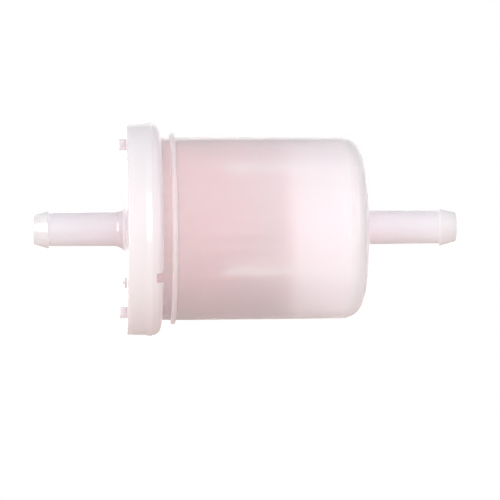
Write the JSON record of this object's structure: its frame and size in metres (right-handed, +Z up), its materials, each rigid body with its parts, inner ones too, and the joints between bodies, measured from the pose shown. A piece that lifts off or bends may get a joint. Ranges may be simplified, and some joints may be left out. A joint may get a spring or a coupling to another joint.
{
  "type": "fuel filter",
  "caption": "In-line fuel filter: a see-through welded housing with a barbed hose nipple at each end, around a pleated paper element with a core tube, end discs and a seal.",
  "frame": {"origin": "on the filter's axis, halfway between the two nipple ends, which is the centre of the bounding box", "axes": "+X along the axis from the outlet nipple on the cap to the inlet nipple on the bowl, +Z up with the drive lugs above and below the axis, +Y to the back"},
  "size_m": [0.08, 0.0408, 0.0408],
  "materials": {
    "milky_plastic": "see-through milky moulded plastic, smooth with a soft sheen",
    "salmon_plastic": "moulded, matte",
    "pink_potting": "cast glue, satin",
    "pink_paper": "resin-treated filter paper, matte",
    "white_plastic": "moulded, satin",
    "black_rubber": "smooth rubber"
  },
  "bodies": {
    "root": {"cap": "milky_plastic", "bowl": "milky_plastic", "weld_bead": "milky_plastic", "outlet_end_disc": "salmon_plastic", "closed_end_disc": "salmon_plastic", "outlet_potting": "pink_potting", "closed_potting": "pink_potting", "media_seam": "pink_potting", "pleated_media": "pink_paper", "core_tube": "white_plastic", "spigot_seal": "black_rubber"}
  },
  "joints": []
}
